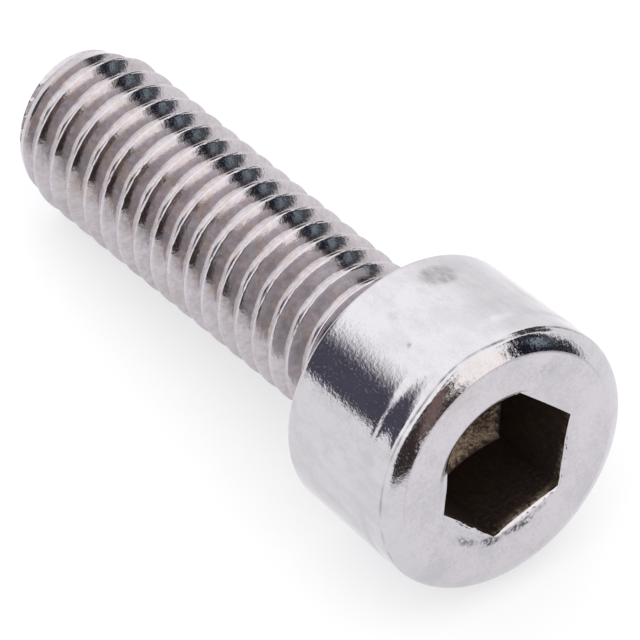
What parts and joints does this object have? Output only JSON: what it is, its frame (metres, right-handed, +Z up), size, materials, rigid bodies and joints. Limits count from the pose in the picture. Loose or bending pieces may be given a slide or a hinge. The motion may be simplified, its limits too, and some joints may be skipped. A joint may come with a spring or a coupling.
{
  "type": "hex socket cap screw",
  "caption": "Hexagon socket head cap screw with a cylindrical head and a fully threaded shank, lying on its head's rim and tip.",
  "frame": {"origin": "centre of the bearing face under the head, on the screw's axis", "axes": "+X from the tip to the head (the screw's axis rises from +X by the small angle at which it rests), +Z up"},
  "size_m": [0.0212, 0.0084, 0.0088],
  "materials": {
    "stainless": "satin, bright at the edges"
  },
  "bodies": {
    "root": {"cap_screw": "stainless"}
  },
  "joints": []
}
